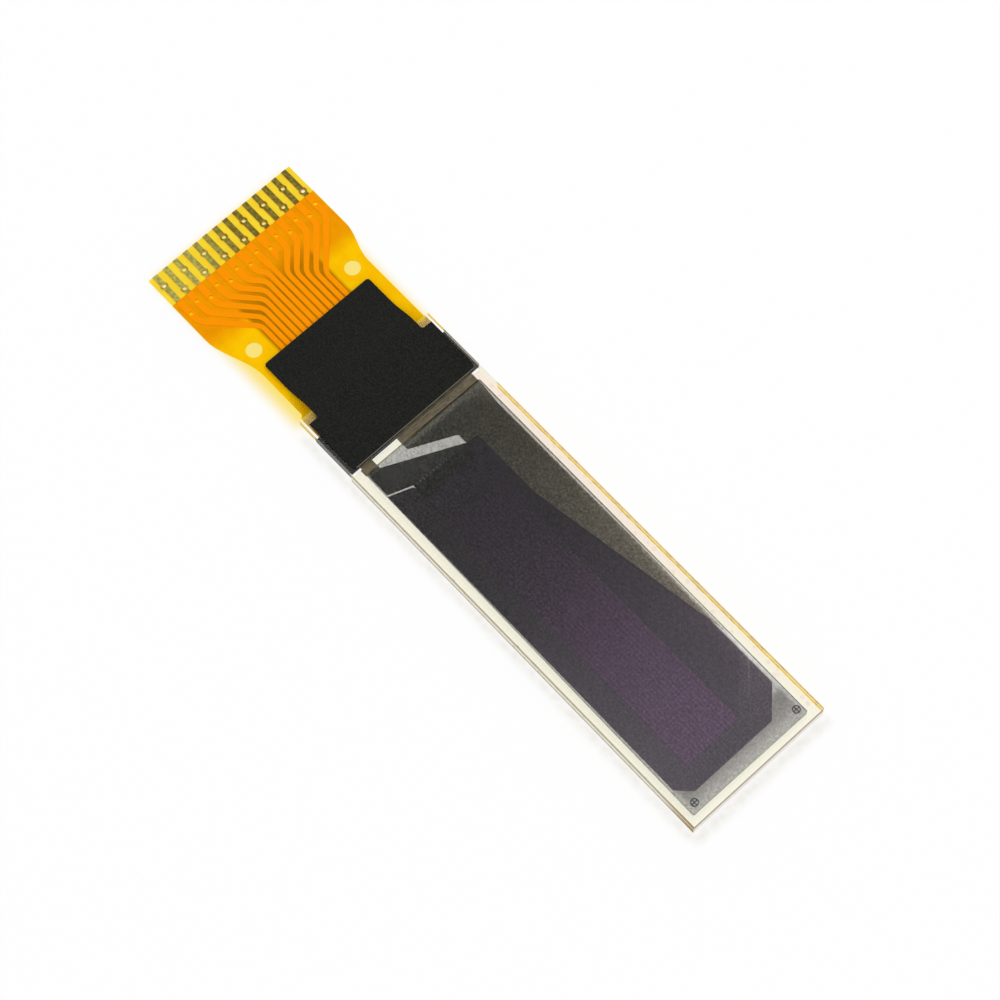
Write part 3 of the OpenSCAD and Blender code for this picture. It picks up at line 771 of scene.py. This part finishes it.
@dataclass(frozen=True)
class TinFinish(Finish):
    """The dull finish of the solder pads."""

    slot: str = "pad_tin"

    def shade(self, graph: Graph) -> bpy.types.NodeSocket:
        """Dark olive and mottled, with a painted reflection that makes the lower pads paler."""
        mottle = graph.ramp(graph.noise(0.16, 3.0), 0.38, 0.64)
        dark = graph.blend(mottle, colour(100, 88, 8), colour(140, 122, 20))
        pale = graph.blend(mottle, colour(152, 144, 60), colour(190, 180, 84))
        # Painted reflection: the pads grade from dark at the top to pale at the bottom.
        base = graph.blend(graph.ramp(graph.place(Axis.Y), 0.6, -3.0), dark, pale)
        return graph.principled(
            Base_Color=base, Roughness=0.5, Specular_IOR_Level=0.3, Normal=graph.bump(mottle, 0.004)
        )


@dataclass(frozen=True)
class CoverFilmFinish(Finish):
    """The tail's orange cover film."""

    slot: str = "cover_film"
    tint: Colour = (1.0, 0.85, 0.1)

    def shade(self, graph: Graph) -> bpy.types.NodeSocket:
        """A tinted see-through film with a satin face."""
        ripple = graph.noise(0.6, 2.0)
        gloss = graph.principled(
            Base_Color=(1.0, 0.5, 0.01), Roughness=0.3, Specular_IOR_Level=0.3,
            Normal=graph.bump(ripple, 0.01),
        )
        tint = graph.blend(graph.leaving(), self.tint, (1.0, 1.0, 1.0))
        return graph.layer(0.03, graph.clear(tint), gloss)


@dataclass(frozen=True)
class TapeFinish(Finish):
    """Matt black tape with a fine grain."""

    slot: str = "black_tape"
    front_end: float = -9.58

    def shade(self, graph: Graph) -> bpy.types.NodeSocket:
        """Black with a pale grain, and a painted highlight along the cut edge beside the screen."""
        x = graph.place(Axis.X)
        grain = graph.noise(0.07, 2.0)
        base = graph.blend(graph.ramp(grain, 0.35, 0.7), colour(19, 20, 18), colour(37, 37, 33))
        # Painted highlight: a light grey line along the tape's cut end.
        edge = graph.ramp(x, self.front_end - 0.03, self.front_end - 0.012)
        base = graph.blend(edge, base, colour(120, 118, 108))
        return graph.principled(
            Base_Color=base, Roughness=0.8, Specular_IOR_Level=0.12, Normal=graph.bump(grain, 0.004)
        )


@dataclass
class DisplayCell:
    """The two glasses with everything between them, and the polariser."""

    glass: GlassFinish = field(default_factory=GlassFinish)

    def dress(self) -> None:
        """Give every layer of the cell its finish."""
        self.glass.apply("substrate_glass", "cap_glass")
        SealFinish().apply("edge_seal")
        DryingFinish().apply("drying_sheet")
        LeadFinish().apply("column_leads", "input_leads")
        DarkLeadFinish().apply("row_leads", "alignment_marks")
        ConductorFinish().apply("anode_columns")
        OrganicFinish().apply("organic_film")
        SeparatorFinish().apply("row_separators")
        CathodeFinish().apply("cathode_film")
        PolariserFinish().apply("polariser_film")


@dataclass
class ChipLedge:
    """The driver chip on the bare ledge, its bonding films, resin and tape."""

    def dress(self) -> None:
        """Give the chip, films, resin and tapes their finish."""
        SiliconFinish().apply("driver_chip")
        BondFinish().apply("chip_bond_film", "tail_bond_film")
        ResinFinish().apply("ledge_resin")
        TapeFinish().apply("front_tape", "rear_tape")


@dataclass
class FlexTail:
    """The flexible tail with its copper, pads and cover films."""

    def dress(self) -> None:
        """Give the films and metals of the tail their finish."""
        BaseFilmFinish().apply("tail_base_film")
        CopperFinish().apply("front_copper", "rear_copper", "via_barrels")
        TinFinish().apply("front_pad_tin", "rear_pad_tin")
        CoverFilmFinish().apply("front_coverlay", "rear_coverlay")


@dataclass
class Studio:
    """The table, lights and camera."""

    table_gap: float = 0.02
    table_half: float = 400.0
    white_share: float = 0.95
    tail_glow_x: tuple[float, float] = (-23.7, -13.2)
    tail_glow_side: float = 4.1
    glow_soft: float = 1.0
    glow_colour: Colour = (0.98, 0.78, 0.20)
    field_shade: Colour = (0.50, 0.49, 0.47)
    field_shade_start: tuple[float, float] = (10.8, 11.2)
    field_shade_end: tuple[float, float] = (12.75, 11.6)
    field_shade_y: tuple[float, float] = (-3.3, 3.4)
    side_shade: Colour = (0.80, 0.77, 0.70)
    aim: tuple[float, float, float] = (-3.958, 0.136, 1.06)
    azimuth: float = -39.829
    elevation: float = 69.491
    distance: float = 143.573
    roll: float = 2.952
    lens: float = 113.11
    sensor: float = 36.0
    sky_strength: float = 0.9
    lamp_place: tuple[float, float, float] = (-80.0, 240.0, 200.0)
    lamp_size: float = 200.0
    lamp_energy: float = 0.14

    def table(self) -> bpy.types.Object:
        """Lay the white table just under the module.

        Returns:
            The table's mesh object.
        """
        half = self.table_half * METRE
        mesh = bpy.data.meshes.new("table")
        corners = [(sx * half, sy * half, -self.table_gap * METRE) for sx, sy in
                   ((-1, -1), (1, -1), (1, 1), (-1, 1))]
        mesh.from_pydata(corners, [], [(0, 1, 2, 3)])
        top = bpy.data.objects.new("table", mesh)
        bpy.context.collection.objects.link(top)
        graph = Graph("table_white")
        paths = graph.node("LightPath").outputs
        seen = graph.calc(
            "MAXIMUM",
            paths["Is Camera Ray"],
            graph.calc("MAXIMUM", paths["Is Glossy Ray"], paths["Is Transmission Ray"]),
        )
        board = graph.node("BsdfDiffuse")
        board.inputs["Color"].default_value = (0.9, 0.9, 0.9, 1.0)
        glow = graph.node("Emission")
        glow.inputs["Strength"].default_value = 1.0
        graph.feed(glow.inputs["Color"], self.table_tone(graph))
        shader = graph.layer(
            graph.both(seen, self.white_share), board.outputs[0], glow.outputs[0]
        )
        mesh.materials.append(graph.done(shader))
        LOG.info("table: laid %.2f mm under the module", self.table_gap)
        return top

    def table_tone(self, graph: Graph) -> bpy.types.NodeSocket:
        """Colour the table: white, yellow under the tail, and shaded by the glass."""
        x, y = graph.place(Axis.X), graph.place(Axis.Y)
        half_soft = self.glow_soft / 2
        under_tail = graph.both(
            graph.band(x, *self.tail_glow_x, self.glow_soft),
            graph.ramp(
                graph.calc("ABSOLUTE", y),
                self.tail_glow_side + half_soft,
                self.tail_glow_side - half_soft,
            ),
        )
        tone = graph.blend(under_tail, (1.0, 1.0, 1.0), self.glow_colour)
        behind_field = graph.both(
            graph.ramp(x, *self.field_shade_end),
            graph.ramp(x, *self.field_shade_start),
            graph.band(y, *self.field_shade_y, 0.3),
        )
        tone = graph.blend(behind_field, tone, self.field_shade)
        near_side = graph.both(graph.band(y, -4.4, -4.0, 0.6), graph.band(x, -12.8, 13.3, 0.6))
        free_end = graph.both(graph.band(x, 13.2, 13.7, 0.6), graph.band(y, -4.3, 4.1, 0.5))
        beside = graph.both(graph.calc("MAXIMUM", near_side, free_end), graph.noise(0.4, 3.0))
        return graph.blend(beside, tone, self.side_shade)

    def lights(self) -> None:
        """Light the table from all round, and a little more from behind on the left."""
        world = bpy.data.worlds.new("studio")
        world.use_nodes = True
        sky = world.node_tree.nodes["Background"]
        sky.inputs["Color"].default_value = (1.0, 1.0, 1.0, 1.0)
        sky.inputs["Strength"].default_value = self.sky_strength
        bpy.context.scene.world = world
        lamp = bpy.data.lights.new("soft_box", "AREA")
        lamp.shape = "DISK"
        lamp.size = self.lamp_size * METRE
        lamp.energy = self.lamp_energy
        holder = bpy.data.objects.new("soft_box", lamp)
        holder.location = Vector(self.lamp_place) * METRE
        holder.rotation_euler = (-holder.location).to_track_quat("-Z", "Y").to_euler()
        bpy.context.collection.objects.link(holder)
        LOG.info("lights: placed")

    def camera(self) -> None:
        """Set the camera where the module is seen from."""
        data = bpy.data.cameras.new("camera")
        data.lens = self.lens
        data.sensor_width = self.sensor
        data.clip_start = METRE
        data.clip_end = 10.0
        data.dof.use_dof = False
        holder = bpy.data.objects.new("camera", data)
        azimuth, elevation = math.radians(self.azimuth), math.radians(self.elevation)
        away = Vector((
            math.cos(elevation) * math.cos(azimuth),
            math.cos(elevation) * math.sin(azimuth),
            math.sin(elevation),
        ))
        aim = Vector(self.aim)
        holder.location = (aim + away * self.distance) * METRE
        forward = -away
        right = forward.cross(Vector((0, 0, 1))).normalized()
        up = right.cross(forward)
        roll = math.radians(self.roll)
        tilted_up = up * math.cos(roll) + right * math.sin(roll)
        tilted_right = forward.cross(tilted_up)
        matrix = holder.matrix_world.to_3x3()
        matrix.col[0], matrix.col[1], matrix.col[2] = tilted_right, tilted_up, -forward
        holder.rotation_euler = matrix.to_euler()
        bpy.context.collection.objects.link(holder)
        bpy.context.scene.camera = holder
        LOG.info("camera: %.1f mm from the module", self.distance)

    def settings(self) -> None:
        """Show colours as they are and let light through many thin layers."""
        scene = bpy.context.scene
        scene.view_settings.view_transform = "Standard"
        scene.cycles.transparent_max_bounces = 32
        scene.cycles.transmission_bounces = 16
        scene.cycles.max_bounces = 20


def main() -> None:
    """Build the scene in order: frame, studio, cell, ledge and tail."""
    logging.basicConfig(level=logging.INFO, format="%(name)s: %(message)s")
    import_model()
    studio = Studio()
    studio.settings()
    studio.table()
    studio.lights()
    studio.camera()
    for assembly in (DisplayCell(), ChipLedge(), FlexTail()):
        assembly.dress()
        LOG.info("%s: done", type(assembly).__name__)


if __name__ == "__main__":
    main()
